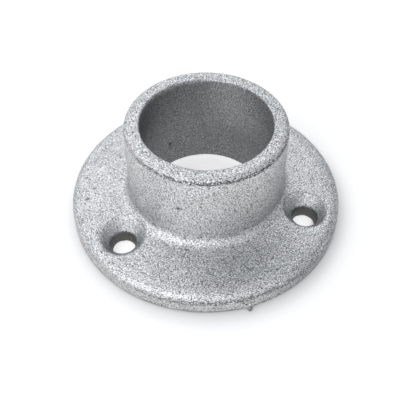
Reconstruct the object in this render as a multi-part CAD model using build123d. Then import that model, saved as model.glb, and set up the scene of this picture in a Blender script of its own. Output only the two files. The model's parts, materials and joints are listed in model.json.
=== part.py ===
# Base flange for railing tube: one iron casting, hot-dip galvanised.
# The mounting face lies at Z = 0, Z runs up the middle of the tube bore, and the origin is
# the centre of the mounting face. Lengths are in millimetres and angles in degrees.
from build123d import *
import math
import os

# Tube bore, straight so that the tube slides down to the floor
bore_d = 50.8
bore_mouth_r = 0.8
bore_base_break = 1.8

# Collar around the tube, drafted so that the pattern leaves the mould
height = 44.4
collar_wall = 6.0
collar_draft = 1.8
collar_edge_r = 2.4
foot_fillet_r = 4.2

# Flange plate, whose top face climbs from the rim to the foot of the collar
rim_h = 9.0
rim_draft = 2.5
rim_edge_r = 4.0
base_edge_break = 0.7
face_rise = 1.6

# Screw holes with cast-in countersinks, on a circle between the collar and the rim. Each hole
# narrows from the ring where its countersink ends to a short straight land at the mounting face.
hole_count = 3
first_hole_at = 90.0
hole_d = 9.0
hole_land = 1.0
ring_d = 10.6
sink_d = 18.6
sink_angle = 82.0
foot_gap = 1.7
edge_land = 4.2

# Run of zinc that set on the rim as the casting was lifted out of the bath
run_at = 275.0
run_reach = 2.0
run_root_d = 3.4
run_tip_d = 1.2
run_gap = 0.2

# Sizes that follow from these
bore_r = bore_d / 2
hole_r = hole_d / 2
ring_r = ring_d / 2
sink_r = sink_d / 2
collar_r = bore_r + collar_wall
foot_h = rim_h + face_rise
foot_r = collar_r + (height - foot_h) * math.tan(math.radians(collar_draft))
hole_circle_r = foot_r + foot_gap + sink_r
flange_r = hole_circle_r + sink_r + edge_land
rim_top_r = flange_r - rim_h * math.tan(math.radians(rim_draft))
sink_slope = math.tan(math.radians(sink_angle / 2))
sink_face_h = rim_h + face_rise * (rim_top_r - hole_circle_r) / (rim_top_r - foot_r)
sink_floor_h = sink_face_h - (sink_r - ring_r) / sink_slope


def section_of(corners):
    """Closed section through corners given as (radius, height, what is done to the corner)."""
    section = make_face(Polyline(*[(r, z) for r, z, edge in corners], close=True))
    for r, z, edge in corners:
        if edge:
            shaping, size = edge
            section = shaping(section.vertices().sort_by_distance((r, z))[0], size)
    return section


def cast_body():
    """Plate, collar and bore as one revolved section, with its edges rounded or broken."""
    # Two edges on one wall leave part of it flat
    rim_limit = 0.45 * rim_h
    wall_limit = 0.45 * collar_wall
    section = section_of([
        (bore_r, 0, (chamfer, min(bore_base_break, rim_limit))),
        (flange_r, 0, (chamfer, min(base_edge_break, rim_limit))),
        (rim_top_r, rim_h, (fillet, min(rim_edge_r, rim_limit))),
        (foot_r, foot_h, (fillet, foot_fillet_r)),
        (collar_r, height, (fillet, min(collar_edge_r, wall_limit))),
        (bore_r, height, (fillet, min(bore_mouth_r, wall_limit))),
    ])
    return revolve(Plane.XZ * section, Axis.Z)


def screw_hole():
    """What one screw hole takes out of the plate, from below it to clear above it."""
    below = -hole_r
    above = foot_h + sink_r
    section = section_of([
        (0, below, None),
        (hole_r, below, None),
        (hole_r, hole_land, None),
        (ring_r, sink_floor_h, None),
        (sink_r, sink_face_h, None),
        (sink_r, above, None),
        (0, above, None),
    ])
    return revolve(Plane.XZ * section, Axis.Z)


def zinc_run():
    """Pointed drop of set zinc, lying outwards along X from inside the rim."""
    root_r = run_root_d / 2
    tip_r = run_tip_d / 2
    root_x = flange_r - root_r
    tip_x = flange_r + run_reach
    section = section_of([
        (root_x, 0, None),
        (tip_x, 0, None),
        (tip_x, tip_r, (fillet, 0.9 * tip_r)),
        (root_x, root_r, None),
    ])
    return Pos(Z=run_gap + root_r) * revolve(section, Axis.X)


flange = cast_body()
for place in PolarLocations(hole_circle_r, hole_count, start_angle=first_hole_at):
    flange -= place * screw_hole()
flange += Rot(Z=run_at) * zinc_run()

os.makedirs("parts", exist_ok=True)
export_step(flange, "parts/base_flange.step")
print("outer diameter", round(2 * flange_r, 2), "hole circle", round(2 * hole_circle_r, 2))
print("plate at the holes", round(sink_face_h, 2), "hole under the countersink", round(sink_floor_h, 2))
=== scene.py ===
import json
import math
import bmesh
import bpy
import numpy as np
from mathutils import Matrix, Vector, noise


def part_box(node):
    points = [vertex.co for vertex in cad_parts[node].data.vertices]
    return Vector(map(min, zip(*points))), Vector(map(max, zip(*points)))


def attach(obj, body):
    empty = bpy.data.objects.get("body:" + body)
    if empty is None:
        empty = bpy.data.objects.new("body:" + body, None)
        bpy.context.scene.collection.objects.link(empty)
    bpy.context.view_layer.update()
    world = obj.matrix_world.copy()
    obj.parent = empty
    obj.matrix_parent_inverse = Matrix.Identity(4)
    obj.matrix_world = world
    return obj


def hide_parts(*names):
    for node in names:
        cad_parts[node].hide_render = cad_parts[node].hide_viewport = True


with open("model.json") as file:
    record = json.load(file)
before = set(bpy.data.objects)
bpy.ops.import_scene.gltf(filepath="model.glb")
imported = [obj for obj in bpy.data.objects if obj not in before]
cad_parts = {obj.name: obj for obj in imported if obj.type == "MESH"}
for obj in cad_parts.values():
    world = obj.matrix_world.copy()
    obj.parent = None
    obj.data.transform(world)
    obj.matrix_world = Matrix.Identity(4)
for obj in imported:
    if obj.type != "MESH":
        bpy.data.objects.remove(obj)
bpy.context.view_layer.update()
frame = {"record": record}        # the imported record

mm = 0.001
scene = bpy.context.scene
mounts = {mount["name"]: mount for mount in frame["record"]["mounts"]}
lowCorner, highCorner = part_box("base_flange")

cameraSetup = {
    "aimAt": (1.8, -0.4, -8.5),     # mm
    "away": 237.9,                  # mm from the point aimed at
    "turn": -11.48,                 # degrees round from the front, to the left
    "height": 50.52,                # degrees above the floor
    "roll": 0.95,                   # degrees
    "lens": 44.95,                  # mm
    "sensor": 36,                   # mm
    "nearest": 0.01,                # metres
}


def wayTowards(turn, height):
    # degrees round from the front, and degrees above the floor
    turn, height = math.radians(turn), math.radians(height)
    level = math.cos(height)
    return Vector((math.sin(turn) * level, -math.cos(turn) * level, math.sin(height)))


def placeCamera(setup):
    back = wayTowards(setup["turn"], setup["height"])
    camera = bpy.data.objects.new("camera", bpy.data.cameras.new("camera"))
    camera.data.lens = setup["lens"]
    camera.data.sensor_width = setup["sensor"]
    camera.data.clip_start = setup["nearest"]
    stand = Matrix.Translation(mm * (Vector(setup["aimAt"]) + setup["away"] * back))
    look = back.to_track_quat("Z", "Y").to_matrix().to_4x4()
    rolled = Matrix.Rotation(math.radians(setup["roll"]), 4, "Z")
    camera.matrix_world = stand @ look @ rolled
    scene.collection.objects.link(camera)
    scene.camera = camera
    print("camera placed")


placeCamera(cameraSetup)

# the casting's own sizes in mm, beside those that the record and the CAD box give
casting = {
    "baseBreak": 1.8,          # at the foot of the bore
    "outerBreak": 0.7,
    "collarWall": 6.0,
    "collarDraft": 1.8,        # degrees
    "collarEdge": 2.4,
    "mouthEdge": 0.8,
    "footFillet": 4.2,
    "rimHeight": 9.0,
    "rimDraft": 2.5,           # degrees
    "rimEdge": 4.0,
    "faceRise": 1.6,
    "edgeLand": 4.2,
    "sinkAngle": 82,           # degrees
    "holeLand": 1.0,
    "ringR": 5.3,              # where the countersink meets the hole
    "ringEdge": 0.8,
    "lipSoftness": 1.0,        # over which the top of a countersink turns over
    "lowerLip": 0.3,
    "lipFade": (0.3, 0.9),     # from the lower to the upper softness, in heights of the rim
    "dropAt": 276,             # degrees round
    "dropReach": 2.0,
    "dropRoot": 1.35,
    "dropTip": 0.6,
    "dropLift": 0.3,
    "dropSag": 18,             # degrees down towards the floor
    "dropBlend": 0.9,
    # pin holes left by gas: degrees round, then mm out, up and across
    "pits": [
        (118.3, 25.4, 13.4, 1.2),
        (179.8, 50.0, 9.8, 1.2),
        (173.6, 47.0, 9.9, 1.0),
        (-119.3, 31.9, 28.6, 1.1),
    ],
    "pitDepth": 0.35,
    "meshSize": 0.66,
    "roundSteps": 144,         # faces round the lathe work
    "settling": (1, 1, 2),     # moves on to the true form after each smoothing
    "grain": [(15.0, 0.10, 3), (3.4, 0.05, 5), (1.3, 0.035, 8)],   # size, depth and seed
    "seedStep": (7.3, 3.1, 5.7),
    "grainFade": 1.5,          # the grain fades out this near the floor
    "footFlat": 0.05,          # all below this lies on the floor
}


def smoothStep(value, low, high):
    share = np.clip((value - low) / (high - low), 0, 1)
    return share * share * (3 - 2 * share)


def roundedLine(corners, steps=7):
    # closed line through the corners, each turned to its own radius
    line = []
    for i, (x, y, radius) in enumerate(corners):
        here = np.array((x, y), float)
        if not radius:
            line.append(here)
            continue
        before = np.array(corners[i - 1][:2]) - here
        after = np.array(corners[(i + 1) % len(corners)][:2]) - here
        before /= np.linalg.norm(before)
        after /= np.linalg.norm(after)
        half = math.acos(before @ after) / 2
        middle = (before + after) / np.linalg.norm(before + after)
        centre = here + middle * radius / math.sin(half)
        start = here + before * radius / math.tan(half) - centre
        end = here + after * radius / math.tan(half) - centre
        first = math.atan2(start[1], start[0])
        sweep = (math.atan2(end[1], end[0]) - first + math.pi) % (2 * math.pi) - math.pi
        for step in range(steps + 1):
            angle = first + sweep * step / steps
            line.append(centre + radius * np.array((math.cos(angle), math.sin(angle))))
    return np.array(line)


def castingLines(shape):
    # outlines of the body, a screw hole and the drop, and the sizes that follow from them
    holes = mounts["screw_holes"]["dims"]
    boreR = mounts["tube_bore"]["dims"]["r_mm"]
    holeR, circleR = holes["hole_r_mm"], holes["pcd_mm"] / 2
    height, flangeR = highCorner.z / mm, highCorner.x / mm
    footHeight = shape["rimHeight"] + shape["faceRise"]
    rimTopR = flangeR - shape["rimHeight"] * math.tan(math.radians(shape["rimDraft"]))
    collarR = boreR + shape["collarWall"]
    footR = collarR + (height - footHeight) * math.tan(math.radians(shape["collarDraft"]))
    sinkR = flangeR - circleR - shape["edgeLand"]
    sinkFace = shape["rimHeight"] + shape["faceRise"] * (rimTopR - circleR) / (rimTopR - footR)
    sinkFloor = sinkFace - (sinkR - shape["ringR"]) / math.tan(math.radians(shape["sinkAngle"] / 2))
    dropEnd = shape["dropRoot"] + shape["dropReach"]
    body = roundedLine([
        (boreR, shape["baseBreak"], 0),
        (boreR + shape["baseBreak"], 0, 0),
        (flangeR - shape["outerBreak"], 0, 0),
        (flangeR, shape["outerBreak"], 0),
        (rimTopR, shape["rimHeight"], shape["rimEdge"]),
        (footR, footHeight, shape["footFillet"]),
        (collarR, height, shape["collarEdge"]),
        (boreR, height, shape["mouthEdge"]),
    ])
    hole = roundedLine([
        (0, -holeR, 0),
        (holeR, -holeR, 0),
        (holeR, shape["holeLand"], 0),
        (shape["ringR"], sinkFloor, shape["ringEdge"]),
        (sinkR, sinkFace, 0),
        (sinkR, height, 0),
        (0, height, 0),
    ])
    drop = roundedLine([
        (0, 0, 0),
        (shape["dropRoot"], 0, 0),
        (shape["dropTip"], dropEnd, 0.4 * shape["dropTip"]),
        (0, dropEnd, 0),
    ])
    return {"body": body, "hole": hole, "drop": drop, "boreR": boreR, "holeR": holeR,
            "holeCount": holes["count"], "circleR": circleR, "flangeR": flangeR,
            "collarR": collarR, "sinkR": sinkR, "height": height}


lines = castingLines(casting)


def lineDistance(points, line):
    # distance to a closed line, less than nothing inside it
    nearest = np.full(len(points), np.inf)
    inside = np.zeros(len(points), bool)
    for start, end in zip(line, np.roll(line, -1, axis=0)):
        edge = end - start
        offset = points - start
        along = np.clip(offset @ edge / (edge @ edge), 0, 1)
        nearest = np.minimum(nearest, ((offset - along[:, None] * edge) ** 2).sum(1))
        spans = (start[1] > points[:, 1]) != (end[1] > points[:, 1])
        crossing = start[0] + offset[:, 1] * edge[0] / (edge[1] or 1)
        inside ^= spans & (points[:, 0] < crossing)
    return np.where(inside, -1, 1) * np.sqrt(nearest)


def softMax(a, b, reach):
    # the larger of two distances, rounded over where they are nearly the same
    overlap = np.maximum(reach - np.abs(a - b), 0) / reach
    return np.maximum(a, b) + overlap ** 2 * reach / 4


def fromAxis(points):
    return np.hypot(points[:, 0], points[:, 1])


def holeDistance(points):
    # how far each point is from the axis of its nearest screw hole
    radius = fromAxis(points)
    step = 2 * math.pi / lines["holeCount"]
    turn = np.arctan2(points[:, 1], points[:, 0]) - math.pi / 2
    turn -= step * np.round(turn / step)
    return np.hypot(radius * np.cos(turn) - lines["circleR"], radius * np.sin(turn))


def dropFrame(shape):
    # its own Z points outwards from the rim, along the floor
    turn = Matrix.Rotation(math.radians(shape["dropAt"]), 4, "Z")
    root = (lines["flangeR"] - shape["dropRoot"], 0, shape["dropRoot"] + shape["dropLift"])
    sag = Matrix.Rotation(math.radians(90 + shape["dropSag"]), 4, "Y")
    return turn @ Matrix.Translation(root) @ sag


def castingDistance(points, shape):
    # distance to the casting's true form, less than nothing inside it
    height = points[:, 2]
    body = lineDistance(np.stack((fromAxis(points), height), 1), lines["body"])
    hole = lineDistance(np.stack((holeDistance(points), height), 1), lines["hole"])
    # the holes' edges are crisp below and soft at the top of the plate
    start, end = shape["lipFade"]
    upper = np.clip((height / shape["rimHeight"] - start) / (end - start), 0, 1)
    softness = shape["lowerLip"] + upper * (shape["lipSoftness"] - shape["lowerLip"])
    body = softMax(body, -hole, softness)
    local = dropFrame(shape).inverted()
    inDrop = points @ np.array(local.to_3x3()).T + np.array(local.translation)
    drop = lineDistance(np.stack((fromAxis(inDrop), inDrop[:, 2]), 1), lines["drop"])
    return -softMax(-body, -drop, shape["dropBlend"])


def lathe(name, line, steps):
    mesh = bmesh.new()
    verts = [mesh.verts.new((r * mm, 0, z * mm)) for r, z in line]
    edges = [mesh.edges.new((verts[i - 1], verts[i])) for i in range(len(verts))]
    bmesh.ops.spin(mesh, geom=verts + edges, cent=(0, 0, 0), axis=(0, 0, 1),
                   angle=2 * math.pi, steps=steps, use_merge=True)
    bmesh.ops.remove_doubles(mesh, verts=mesh.verts, dist=1e-6)
    bmesh.ops.recalc_face_normals(mesh, faces=mesh.faces)
    data = bpy.data.meshes.new(name)
    mesh.to_mesh(data)
    mesh.free()
    made = bpy.data.objects.new(name, data)
    scene.collection.objects.link(made)
    return made


def combine(target, other, operation):
    modifier = target.modifiers.new(operation.lower(), "BOOLEAN")
    modifier.object = other
    modifier.operation = operation
    modifier.solver = "EXACT"


def castRough(shape):
    # lathe work, hole cutters and drop, made into one even skin
    steps = shape["roundSteps"]
    rough = lathe("castingRough", lines["body"], steps)
    helpers = [rough]
    out = Matrix.Translation((lines["circleR"] * mm, 0, 0))
    for index in range(lines["holeCount"]):
        cutter = lathe("sinkCutter", lines["hole"], steps // 3)
        turn = math.pi / 2 + index * 2 * math.pi / lines["holeCount"]
        cutter.matrix_world = Matrix.Rotation(turn, 4, "Z") @ out
        combine(rough, cutter, "DIFFERENCE")
        helpers.append(cutter)
    drop = lathe("zincDrop", lines["drop"], steps // 6)
    place = dropFrame(shape)
    place.translation *= mm
    drop.matrix_world = place
    combine(rough, drop, "UNION")
    helpers.append(drop)
    skin = rough.modifiers.new("skin", "REMESH")
    skin.mode = "VOXEL"
    skin.voxel_size = shape["meshSize"] * mm
    bpy.context.view_layer.update()
    solid = rough.evaluated_get(bpy.context.evaluated_depsgraph_get())
    data = bpy.data.meshes.new_from_object(solid)
    for helper in helpers:
        bpy.data.objects.remove(helper)
    data.name = "flangeCasting"
    print("rough casting:", len(data.vertices), "points")
    return data


def relaxed(points, edges):
    # moves each point half way to the middle of its neighbours
    total = np.zeros_like(points)
    count = np.bincount(edges.ravel(), minlength=len(points))[:, None]
    for axis in range(3):
        total[:, axis] = np.bincount(edges[:, 0], points[edges[:, 1], axis], len(points))
        total[:, axis] += np.bincount(edges[:, 1], points[edges[:, 0], axis], len(points))
    return (points + total / count) / 2


def settled(points, shape, times):
    # moves each point on to the true form, and gives the way out of it
    probe = 0.02         # mm
    leastSlope = 0.3     # holds back points half way between two walls
    for done in range(times + 1):
        gap = castingDistance(points, shape)
        rises = [castingDistance(points + probe * axis, shape) - gap for axis in np.eye(3)]
        slope = np.stack(rises, 1) / probe
        slope /= np.maximum(np.linalg.norm(slope, axis=1), leastSlope)[:, None]
        if done < times:
            points = points - gap[:, None] * slope
    return points, slope


def grainDepth(points, shape):
    depth = np.zeros(len(points))
    for size, deep, seed in shape["grain"]:
        shift = Vector([seed * step for step in shape["seedStep"]])
        depth += deep * np.array([noise.noise(Vector(point) / size + shift) for point in points])
    return depth


# Where light and shade are painted into the zinc's colour, and where its skin is smoother. Lengths are
# in mm. A place "At" is degrees round the axis, then degrees to each side. Slopes run from 0 on an
# upright wall to 1 on a level face.
zincPlaces = {
    "boreSkin": (0.1, 0.7),          # painted shade in the bore, fading out this far outside its wall
    "mouthFade": 1.5,
    "boreDross": 0.85,               # painted shade, darker towards the bottom of the bore
    "boreDrossFade": (4, 30),
    "boreLight": 0.7,                # painted light high on the right of the bore
    "boreLightFade": (15, 36),
    "boreLightAt": (12, 80),
    "holeSkin": (0.6, 0.4),          # painted shade in the screw holes, fading out this far outside the hole at its land, and outside its ring
    "cupSkin": (1.4, 0.2),           # inside the lip of the countersink
    # a little painted shade in the countersinks
    "cupDirt": 0.14,
    "drossFrom": (0.04, 0.10),       # slopes where the painted dark reflection line at the edges starts
    "drossTo": (0.28, 0.50),         # and where it ends
    "drossTopWider": 0.25,           # added to its end on the collar's top, and on the rim
    "drossRimWider": 0.15,
    "drossAllRound": 0.3,            # the rest is on the side given next
    "drainedAt": -85,                # degrees round
    "drainedTop": (0.0, 0.7),        # how squarely a place faces that side, from 0 to 1
    "drainedRim": (0.6, 0.98),
    "drainedRimShare": 0.8,
    "brightWall": 0.8,               # painted light down the outer walls
    "collarFade": (0.3, 0.9),        # out from the bore, in thicknesses of the collar
    "rimFade": (1.5, 0.7),           # inside the rim
    "dullTop": 0.4,                  # painted shade on the collar's top
    "topSlope": 0.3,
    "dullRight": 0.9,                # and on the right of its top and wall
    "dullRightWall": 0.7,
    "dullRightFade": (1.5, 2.2),     # up from the floor, in heights of the rim
    "dullRightAt": (10, 75),
    # painted shade patches on the plate: a place, then mm from the axis to their inside and outside
    "dullPatches": [(-78, 37, 38.0, 56.0), (12, 50, 49.0, 60.0), (-42, 42, 53.0, 66.0)],
    "patchFade": (3, 4),             # at the inside and at the outside of a patch
    "rimFresh": 0.45,                # painted highlight on the rim
    "rimFreshAt": (-110, 65),
    "rimFreshSlope": (0.45, 0.75),
    "footFresh": 0.25,               # painted highlight in the foot of the collar, in full at its place
    "footFreshAt": (-145, 65),
    "footFreshMiddle": 0.75,         # out from the collar, in fillets of its foot
    "footFreshWidth": (0.2, 0.55),
    "wallFresh": 0.9,                # painted light down the front of the collar
    "wallFreshAt": (-135, 55),
    "wallFreshSlope": 0.2,
    "baseGrime": (0.9, 2.0),         # painted contact shadow up from the floor, in breaks of the rim's lower edge
    "dropSkin": (0.15, 0.6),         # painted shade on the drop, outside the rim
    "dropDark": 0.75,
}


def roundShare(points, at, reach, full=0.35):
    # 1 at one place round the axis and in the full part of its reach, fading to 0 at its sides
    turn = np.arctan2(points[:, 1], points[:, 0]) - math.radians(at)
    turn -= 2 * math.pi * np.round(turn / (2 * math.pi))
    return 1 - smoothStep(np.abs(turn), full * math.radians(reach), math.radians(reach))


def facesOut(points, slope):
    return slope[:, 0] * points[:, 0] + slope[:, 1] * points[:, 1] > 0


def boreShares(points, shape, places):
    # painted shade in the bore, darker towards its bottom, and painted light high on its right
    height, mouth = points[:, 2], lines["height"] - shape["mouthEdge"]
    start, end = places["boreSkin"]
    bore = 1 - smoothStep(fromAxis(points), lines["boreR"] + start, lines["boreR"] + end)
    bore *= 1 - smoothStep(height, mouth - places["mouthFade"], mouth)
    dross = places["boreDross"] * bore * (1 - smoothStep(height, *places["boreDrossFade"]))
    light = smoothStep(height, *places["boreLightFade"])
    light *= roundShare(points, *places["boreLightAt"])
    return bore * (1 - places["boreLight"] * light), dross


def cupShare(points, places):
    # 1 inside the countersinks, where the skin is smoother
    start, end = places["cupSkin"]
    return 1 - smoothStep(holeDistance(points), lines["sinkR"] - start, lines["sinkR"] - end)


def holeShare(points, shape, places):
    # painted shade: 1 on the walls of the screw holes, and a little in their countersinks
    start, end = places["holeSkin"]
    hole = 1 - smoothStep(holeDistance(points), lines["holeR"] + start, shape["ringR"] + end)
    return np.maximum(hole, places["cupDirt"] * cupShare(points, places))


def edgeShare(points, slope, shape, places):
    # a painted dark reflection line where the rim and the collar's top turn down into their walls
    radius, height, level = fromAxis(points), points[:, 2], slope[:, 2]
    rimBottom = 0.3 * shape["rimHeight"]
    topBottom = lines["height"] - 1.5 * shape["collarEdge"]
    rim = (radius > lines["flangeR"] - shape["rimEdge"]) & (height > rimBottom)
    top = (height > topBottom) & facesOut(points, slope)
    wider = places["drossTopWider"] * top + places["drossRimWider"] * rim
    turning = smoothStep(level, *places["drossFrom"])
    turning *= 1 - smoothStep(level - wider, *places["drossTo"])
    darkestTurn = math.radians(places["drainedAt"])
    facing = points[:, 0] * math.cos(darkestTurn) + points[:, 1] * math.sin(darkestTurn)
    facing /= np.maximum(radius, 1)
    rimFront = places["drainedRimShare"] * smoothStep(facing, *places["drainedRim"])
    front = np.where(rim, rimFront, smoothStep(facing, *places["drainedTop"]))
    allRound = places["drossAllRound"]
    return turning * (rim | top) * (allRound + (1 - allRound) * front)


def wallShare(points, shape, places):
    # painted light on the outer walls of the collar and the rim
    radius = fromAxis(points)
    foot = shape["rimHeight"] + shape["faceRise"]
    start, end = (lines["boreR"] + part * shape["collarWall"] for part in places["collarFade"])
    collar = smoothStep(points[:, 2], foot, foot + 2 * shape["footFillet"])
    collar *= smoothStep(radius, start, end)
    start, end = places["rimFade"]
    rim = smoothStep(radius, lines["flangeR"] - start, lines["flangeR"] - end)
    return places["brightWall"] * np.maximum(collar, rim)


def paintedShadeShare(points, slope, shape, places):
    # painted shade on the collar's top, the right of its top and wall, and the patches on the plate
    radius, height, edge = fromAxis(points), points[:, 2], shape["collarEdge"]
    top = smoothStep(height, lines["height"] - edge, lines["height"] - 0.5 * edge)
    top *= slope[:, 2] > places["topSlope"]
    start, end = (part * shape["rimHeight"] for part in places["dullRightFade"])
    wall = smoothStep(height, start, end) * (radius > lines["collarR"] - 1)
    right = places["dullRight"] * roundShare(points, *places["dullRightAt"])
    right *= np.maximum(top, places["dullRightWall"] * wall)
    share = np.maximum(right, places["dullTop"] * top)
    innerFade, outerFade = places["patchFade"]
    for at, reach, inner, outer in places["dullPatches"]:
        across = smoothStep(radius, inner, inner + innerFade)
        across *= 1 - smoothStep(radius, outer - outerFade, outer)
        share = np.maximum(share, across * roundShare(points, at, reach))
    return share


def paintedLightShare(points, slope, shape, places):
    # painted highlights on the rim and in the foot of the collar, and painted light down the collar's
    # front
    radius, rimEdge, fillet = fromAxis(points), shape["rimEdge"], shape["footFillet"]
    rim = smoothStep(radius, lines["flangeR"] - 1.5 * rimEdge, lines["flangeR"] - rimEdge)
    rim *= smoothStep(slope[:, 2], *places["rimFreshSlope"])
    rim *= places["rimFresh"] * roundShare(points, *places["rimFreshAt"])
    middle = lines["collarR"] + places["footFreshMiddle"] * fillet
    start, end = (part * fillet for part in places["footFreshWidth"])
    foot = 1 - smoothStep(np.abs(radius - middle), start, end)
    foot *= points[:, 2] < lines["height"] / 2
    foot *= places["footFresh"] + (1 - places["footFresh"]) * roundShare(points, *places["footFreshAt"])
    wall = (slope[:, 2] < places["wallFreshSlope"]) & (radius < middle) & facesOut(points, slope)
    wall = places["wallFresh"] * wall * roundShare(points, *places["wallFreshAt"])
    return np.maximum(np.maximum(rim, foot), wall)


def baseShare(points, shape, places):
    # a painted contact shadow in the break round the bottom of the rim, and painted shade on the drop
    radius, edge = fromAxis(points), shape["outerBreak"]
    start, end = (part * edge for part in places["baseGrime"])
    grime = (radius > lines["flangeR"] - 2 * edge) * (1 - smoothStep(points[:, 2], start, end))
    start, end = places["dropSkin"]
    drop = smoothStep(radius, lines["flangeR"] + start, lines["flangeR"] + end)
    return np.maximum(grime, places["dropDark"] * drop)


def pitShare(points, shape):
    share = np.zeros(len(points))
    for turn, out, up, across in shape["pits"]:
        turn = math.radians(turn)
        centre = np.array((out * math.cos(turn), out * math.sin(turn), up))
        away = np.linalg.norm(points - centre, axis=1)
        share = np.maximum(share, 1 - smoothStep(away, 0.2 * across, across))
    return share


def castFlange(shape, places):
    data = castRough(shape)
    flat = np.zeros(len(data.vertices) * 3)
    data.vertices.foreach_get("co", flat)
    points = flat.reshape(-1, 3) / mm
    ends = np.zeros(len(data.edges) * 2, np.int32)
    data.edges.foreach_get("vertices", ends)
    edges = ends.reshape(-1, 2)
    for times in shape["settling"]:
        points, slope = settled(relaxed(points, edges), shape, times)
    print("casting settled on its form")
    pits = pitShare(points, shape)
    depth = np.clip(points[:, 2] / shape["grainFade"], 0, 1) * grainDepth(points, shape)
    points = points + (depth - shape["pitDepth"] * pits)[:, None] * slope
    points[:, 2] = np.where(points[:, 2] < shape["footFlat"], 0, points[:, 2])
    points = np.clip(points, np.array(lowCorner) / mm, np.array(highCorner) / mm)
    data.vertices.foreach_set("co", (points * mm).ravel())
    bore, boreDross = boreShares(points, shape, places)
    shares = {
        "bore": bore,
        "deep": boreDross,
        "base": baseShare(points, shape, places),
        "screwHole": holeShare(points, shape, places),
        "cup": cupShare(points, places),
        "edge": edgeShare(points, slope, shape, places),
        "wall": wallShare(points, shape, places),
        "dull": paintedShadeShare(points, slope, shape, places),
        "fresh": paintedLightShare(points, slope, shape, places),
        "pit": pits,
    }
    for name, share in shares.items():
        attribute = data.attributes.new(name, "FLOAT", "POINT")
        attribute.data.foreach_set("value", share.astype(np.float32))
    data.update()
    data.polygons.foreach_set("use_smooth", np.ones(len(data.polygons), bool))
    made = bpy.data.objects.new("flangeCasting", data)
    scene.collection.objects.link(made)
    print("casting grained")
    return made


def spread(tree, value, low, high, outLow=0.0, outHigh=1.0, kind="LINEAR"):
    # stretches low to high over outLow to outHigh
    made = tree.nodes.new("ShaderNodeMapRange")
    made.interpolation_type = kind
    ends = {"From Min": low, "From Max": high, "To Min": outLow, "To Max": outHigh}
    for name, number in ends.items():
        made.inputs[name].default_value = number
    tree.links.new(value, made.inputs["Value"])
    return made.outputs["Result"]


def blend(tree, amount, first, second):
    made = tree.nodes.new("ShaderNodeMix")
    made.data_type = "RGBA"
    tree.links.new(amount, made.inputs[0])
    # the sockets for colours are numbers 6 and 7, and 2 among the outputs
    for socket, value in ((made.inputs[6], first), (made.inputs[7], second)):
        if isinstance(value, tuple):
            socket.default_value = (*value, 1)
        else:
            tree.links.new(value, socket)
    return made.outputs[2]


def calculate(tree, operation, first, second, clamp=False):
    made = tree.nodes.new("ShaderNodeMath")
    made.operation = operation
    made.use_clamp = clamp
    tree.links.new(first, made.inputs[0])
    tree.links.new(second, made.inputs[1])
    return made.outputs[0]


zincFinish = {
    "bright": (0.65, 0.667, 0.683),
    "dull": (0.50, 0.527, 0.55),
    "pepper": (0.07, 0.073, 0.08),
    "salt": (1.0, 1.0, 1.0),
    # the next seven colours paint light and shade into the zinc
    "dullPatch": (0.42, 0.45, 0.475),
    "fresh": (0.84, 0.85, 0.865),
    "wall": (0.79, 0.782, 0.788),
    "bore": (0.212, 0.215, 0.223),
    "screwHole": (0.165, 0.163, 0.155),
    "pit": (0.03, 0.03, 0.028),
    "grime": (0.122, 0.126, 0.132),
    "metallic": 0.9,
    "glancing": (0.62, 0.62, 0.62),    # how strongly it reflects at a glancing angle
    "rough": (0.30, 0.46),
    "edgeWear": (0.52, 0.60, 0.6),     # from and to how sharp an edge, and how bright at most
    "saltInBore": 0.35,                # share of the bright specks that show in the bore
    "saltInDull": 0.84,                # and on the painted shade patches
    "pepperInBore": 0.4,
    "specksInCup": 0.75,
    # size in mm, detail, roughness, place in the noise, and the levels it fades between
    "clouds": {
        "patches": (9.0, 4.0, 0.55, (0, 0, 0), 0.35, 0.65),
        "fresh": (5.0, 4.0, 0.5, (0.2, 0.5, 0.8), 0.3, 0.6),
        "salt": (0.34, 1.0, 0.5, (0.9, 0.4, 0.2), 0.51, 0.55),
        "pepper": (0.34, 1.0, 0.5, (0.3, 0.1, 0.7), 0.53, 0.57),
        "dross": (0.476, 1.0, 0.5, (0.5, 0.6, 0.1), 0.41, 0.52),
        "rough": (1.1, 3.0, 0.55, (0, 0, 0), 0.35, 0.65),
    },
    # sand marks, a coarse pebbling under a fine grit: size and depth in mm, and detail
    "sand": [(2.0, 0.14, 2.0), (0.55, 0.32, 1.5)],
    "sandRoughness": 0.6,
}


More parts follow.
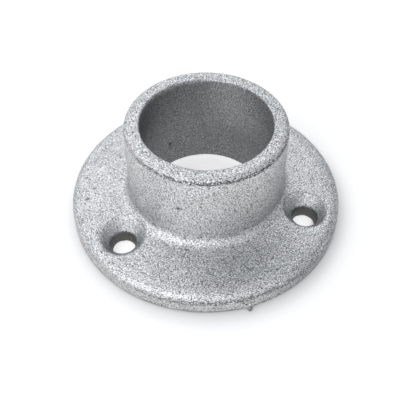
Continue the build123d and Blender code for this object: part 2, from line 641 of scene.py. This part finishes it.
def galvanised(finish):
    material = bpy.data.materials.new("galvanisedIron")
    material.use_nodes = True
    tree = material.node_tree
    nodes, links = tree.nodes, tree.links
    shader = nodes["Principled BSDF"]
    shader.inputs["Metallic"].default_value = finish["metallic"]
    shader.inputs["Specular Tint"].default_value = (*finish["glancing"], 1)
    place = nodes.new("ShaderNodeTexCoord").outputs["Object"]

    def mottle(size, detail, roughness, offset):
        mapping = nodes.new("ShaderNodeMapping")
        mapping.inputs["Location"].default_value = offset
        links.new(place, mapping.inputs["Vector"])
        made = nodes.new("ShaderNodeTexNoise")
        made.inputs["Scale"].default_value = 1 / (size * mm)
        made.inputs["Detail"].default_value = detail
        made.inputs["Roughness"].default_value = roughness
        links.new(mapping.outputs["Vector"], made.inputs["Vector"])
        return made.outputs["Fac"]

    def cloud(name, outLow=0.0, outHigh=1.0):
        size, detail, roughness, offset, low, high = finish["clouds"][name]
        return spread(tree, mottle(size, detail, roughness, offset), low, high, outLow, outHigh)

    def share(name):
        made = nodes.new("ShaderNodeAttribute")
        made.attribute_name = name
        return made.outputs["Fac"]

    def both(first, second):
        return calculate(tree, "MULTIPLY", first, second)

    def fewer(value, name, left):
        # keeps this part of the value where the named share is 1
        return both(value, spread(tree, share(name), 0.0, 1.0, 1.0, left))

    # patches of brighter and duller zinc, and sharp edges painted lighter: partly wear, partly painted
    # highlight
    colour = blend(tree, cloud("patches"), finish["dull"], finish["bright"])
    start, end, most = finish["edgeWear"]
    point = nodes.new("ShaderNodeNewGeometry").outputs["Pointiness"]
    colour = blend(tree, spread(tree, point, start, end, 0.0, most), colour, finish["salt"])
    # painted light and shade, first painted light on the outer walls
    colour = blend(tree, share("wall"), colour, finish["wall"])
    # painted shade patches
    colour = blend(tree, share("dull"), colour, finish["dullPatch"])
    # painted highlights on the rim and in the foot of the collar, and painted light down its front
    colour = blend(tree, both(share("fresh"), cloud("fresh")), colour, finish["fresh"])
    # painted shade in the bore, lighter high on its right
    colour = blend(tree, share("bore"), colour, finish["bore"])
    # painted shade, darker towards the bottom of the bore
    colour = blend(tree, share("deep"), colour, finish["grime"])
    # painted shade in the screw holes
    colour = blend(tree, share("screwHole"), colour, finish["screwHole"])
    # bright and dark specks in the grain, and a painted dark reflection line under the edges
    salt = fewer(cloud("salt"), "bore", finish["saltInBore"])
    salt = fewer(salt, "dull", finish["saltInDull"])
    salt = fewer(salt, "cup", finish["specksInCup"])
    salt = fewer(salt, "screwHole", 0.0)
    colour = blend(tree, salt, colour, finish["salt"])
    pepper = fewer(cloud("pepper"), "cup", finish["specksInCup"])
    pepper = fewer(pepper, "bore", finish["pepperInBore"])
    colour = blend(tree, pepper, colour, finish["pepper"])
    colour = blend(tree, both(share("edge"), cloud("dross")), colour, finish["pepper"])
    # painted shade in the gas pits, which are also dented into the form
    colour = blend(tree, share("pit"), colour, finish["pit"])
    # painted contact shadow round the foot of the rim, and painted shade on the drop
    colour = blend(tree, share("base"), colour, finish["grime"])
    links.new(colour, shader.inputs["Base Color"])
    links.new(cloud("rough", *finish["rough"]), shader.inputs["Roughness"])

    normal = None
    for size, depth, detail in finish["sand"]:
        bump = nodes.new("ShaderNodeBump")
        bump.inputs["Strength"].default_value = 1.0
        bump.inputs["Distance"].default_value = depth * mm
        marks = mottle(size, detail, finish["sandRoughness"], (size, 0, 0))
        links.new(marks, bump.inputs["Height"])
        if normal:
            links.new(normal, bump.inputs["Normal"])
        normal = bump.outputs["Normal"]
    links.new(normal, shader.inputs["Normal"])
    print("zinc finish mixed")
    return material


flange = castFlange(casting, zincPlaces)
flange.data.materials.clear()
flange.data.materials.append(galvanised(zincFinish))
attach(flange, "root")
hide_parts("base_flange")
print("flange finished:", len(flange.data.polygons), "faces")

studio = {
    "floorSize": 3.0,                    # metres from the middle to each side
    "floorDrop": 0.00005,                # metres, to keep it clear of the mounting face
    "floorColour": (0.88, 0.88, 0.88),
    "floorRough": 0.9,
    "floorGloss": 0.2,
    "floorLift": 0.17,
    "underLift": 0.59,                   # painted light: the floor under the flange glows brighter, seen through the bore and the screw holes
    "underReach": (46.0, 52.0),          # mm from the middle
    "edgeLift": 0.02,                    # painted contact shadow: less lift close under the rim, where little light gets in
    "edgeReach": (56.0, 67.0),
    "farLift": 0.60,                     # keeps the floor pale beyond the lamps
    "farReach": (350.0, 1500.0),
    "sky": (0.356, 0.365, 0.378),
    "horizon": (1.0, 1.0, 1.0),          # pale paper all round, behind the end of the floor
    "horizonReach": (0.08, 0.25),        # how far up it fades into the sky, from 0 to 1
    # name, degrees round from the front, degrees up, metres away, size in metres, watts
    "lamps": [
        ("leftSoftbox", -85.0, 38.0, 1.2, 1.0, 2.3),
        ("frontLeftSoftbox", -55.0, 26.0, 1.2, 1.0, 2.2),
        ("frontSoftbox", -25.0, 30.0, 1.2, 1.1, 5.0),
        ("frontRightSoftbox", 35.0, 40.0, 1.2, 1.0, 1.3),
        ("backRightSoftbox", 140.0, 45.0, 1.2, 1.0, 2.2),
        ("backSoftbox", 170.0, 35.0, 1.2, 1.0, 2.3),
        ("backLeftSoftbox", -140.0, 45.0, 1.2, 1.0, 4.0),
        ("topSoftbox", 0.0, 88.0, 1.2, 1.0, 0.7),
    ],
}


def paleFloor(setup):
    material = bpy.data.materials.new("paleFloor")
    material.use_nodes = True
    tree = material.node_tree
    nodes, links = tree.nodes, tree.links
    shader = nodes["Principled BSDF"]
    shader.inputs["Base Color"].default_value = (*setup["floorColour"], 1)
    shader.inputs["Roughness"].default_value = setup["floorRough"]
    shader.inputs["Specular IOR Level"].default_value = setup["floorGloss"]
    shader.inputs["Emission Color"].default_value = (1, 1, 1, 1)
    length = nodes.new("ShaderNodeVectorMath")
    length.operation = "LENGTH"
    links.new(nodes.new("ShaderNodeTexCoord").outputs["Object"], length.inputs[0])

    def ring(reach, inside, outside, kind):
        start, end = setup[reach]
        return spread(tree, length.outputs["Value"], start * mm, end * mm, inside, outside, kind)

    # painted light under the flange and a painted contact shadow close under its rim: the lift falls
    # from under the flange to its rim, and rises again beyond it
    plain, edge = setup["floorLift"], setup["edgeLift"]
    under = ring("underReach", setup["underLift"] + plain - edge, plain, "LINEAR")
    rise = ring("edgeReach", edge - plain, 0.0, "SMOOTHSTEP")
    distant = ring("farReach", 0.0, setup["farLift"], "SMOOTHSTEP")
    lift = calculate(tree, "ADD", calculate(tree, "ADD", under, rise, True), distant, True)
    # it only brightens the floor that is seen, and throws no light on the flange
    path = nodes.new("ShaderNodeLightPath").outputs
    seen = calculate(tree, "ADD", path["Is Camera Ray"], path["Is Glossy Ray"], True)
    seen = calculate(tree, "ADD", seen, path["Is Transmission Ray"], True)
    links.new(calculate(tree, "MULTIPLY", seen, lift), shader.inputs["Emission Strength"])
    return material


def layFloor(setup):
    mesh = bmesh.new()
    bmesh.ops.create_grid(mesh, x_segments=1, y_segments=1, size=setup["floorSize"])
    data = bpy.data.meshes.new("floor")
    mesh.to_mesh(data)
    mesh.free()
    data.materials.append(paleFloor(setup))
    floor = bpy.data.objects.new("floor", data)
    floor.location.z = -setup["floorDrop"]
    scene.collection.objects.link(floor)
    print("floor laid")


def lightStudio(setup):
    world = bpy.data.worlds.new("studio")
    scene.world = world
    world.use_nodes = True
    tree = world.node_tree
    split = tree.nodes.new("ShaderNodeSeparateXYZ")
    way = tree.nodes.new("ShaderNodeTexCoord").outputs["Generated"]
    tree.links.new(way, split.inputs[0])
    upwards = spread(tree, split.outputs["Z"], *setup["horizonReach"])
    sky = blend(tree, upwards, setup["horizon"], setup["sky"])
    tree.links.new(sky, tree.nodes["Background"].inputs["Color"])
    for name, turn, height, away, size, power in setup["lamps"]:
        lamp = bpy.data.objects.new(name, bpy.data.lights.new(name, "AREA"))
        lamp.data.size = size
        lamp.data.energy = power
        towards = wayTowards(turn, height)
        lamp.location = towards * away
        lamp.rotation_euler = towards.to_track_quat("Z", "Y").to_euler()
        scene.collection.objects.link(lamp)
    scene.view_settings.view_transform = "Standard"
    print("studio lit")


layFloor(studio)
lightStudio(studio)
